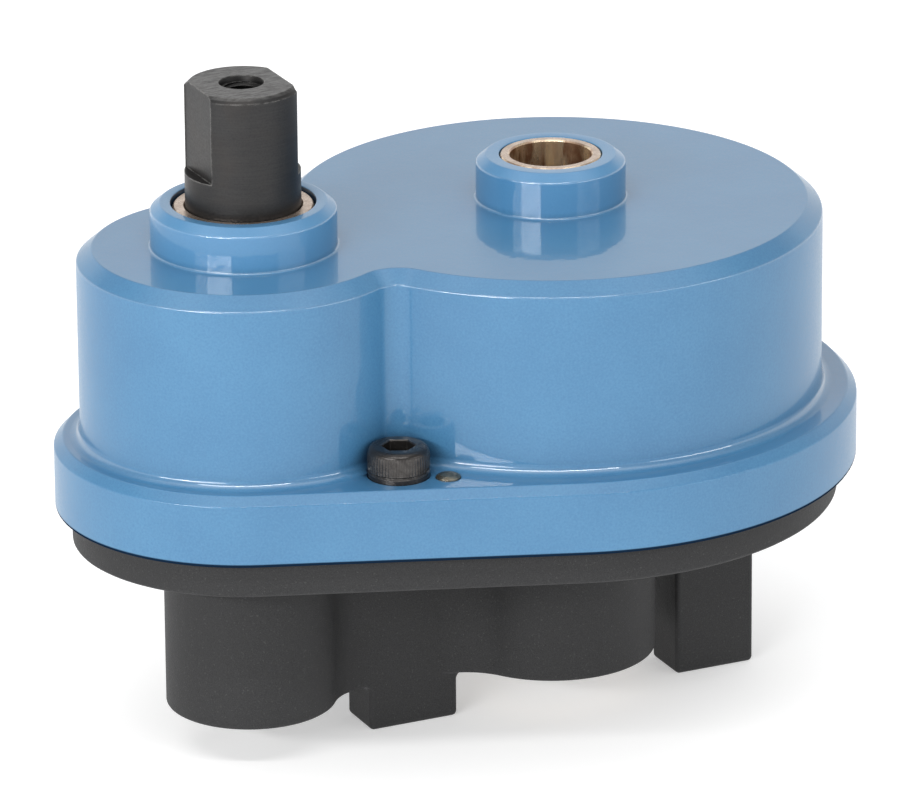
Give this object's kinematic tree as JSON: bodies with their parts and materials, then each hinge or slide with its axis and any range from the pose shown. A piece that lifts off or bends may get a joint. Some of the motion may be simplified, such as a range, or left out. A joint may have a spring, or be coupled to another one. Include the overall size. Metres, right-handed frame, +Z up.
{
  "type": "offset parallel-shaft gearbox",
  "caption": "Offset spur gearbox: blue two-lobe cover on a black base, hollow keyed drive hub in one lobe, flatted output shaft in the other, torque lugs below.",
  "frame": {"origin": "on the surface that the two torque lugs stand on, under the middle of the box", "axes": "+X from the output shaft towards the drive bore, +Z up along both shaft axes, -Y is the front"},
  "size_m": [0.162, 0.1194, 0.1352],
  "materials": {
    "blue_enamel": "glossy",
    "black_casting": "matte",
    "gasket_sheet": "matte",
    "black_screw": "satin",
    "dowel_metal": "satin",
    "bronze": "satin",
    "black_oxide_steel": "satin",
    "gear_steel": "satin",
    "spring_steel": "satin"
  },
  "bodies": {
    "housing": {"cover_housing": "blue_enamel", "base_housing": "black_casting", "housing_gasket": "gasket_sheet", "cover_screw_front": "black_screw", "cover_screw_rear": "black_screw", "dowel_pin_front": "dowel_metal", "dowel_pin_rear": "dowel_metal", "shaft_base_bush": "bronze", "shaft_cover_bush": "bronze", "hub_base_bush": "bronze", "hub_cover_bush": "bronze", "pilot_bush": "bronze", "shaft_washer_lower": "bronze", "shaft_washer_upper": "bronze", "hub_washer_lower": "bronze", "hub_washer_upper": "bronze"},
    "drive_train": {"drive_hub": "gear_steel", "drive_gear": "gear_steel", "gear_key": "gear_steel", "hub_ring": "spring_steel"},
    "output_train": {"output_shaft": "black_oxide_steel", "output_pinion": "gear_steel", "pinion_key": "gear_steel", "shaft_ring_lower": "spring_steel", "shaft_ring_upper": "spring_steel"}
  },
  "joints": [
    {"name": "drive_spin", "type": "hinge", "parent": "housing", "child": "drive_train", "pos_m": [0.0213, 0, 0.0719], "axis": [0, 0, 1], "continuous": true},
    {"name": "output_spin", "type": "hinge", "parent": "housing", "child": "output_train", "pos_m": [-0.0437, 0, 0.0719], "axis": [0, 0, 1], "continuous": true}
  ],
  "couplings": [
    {"joint": "output_spin", "follows": "drive_spin", "ratio": -1.8261}
  ]
}
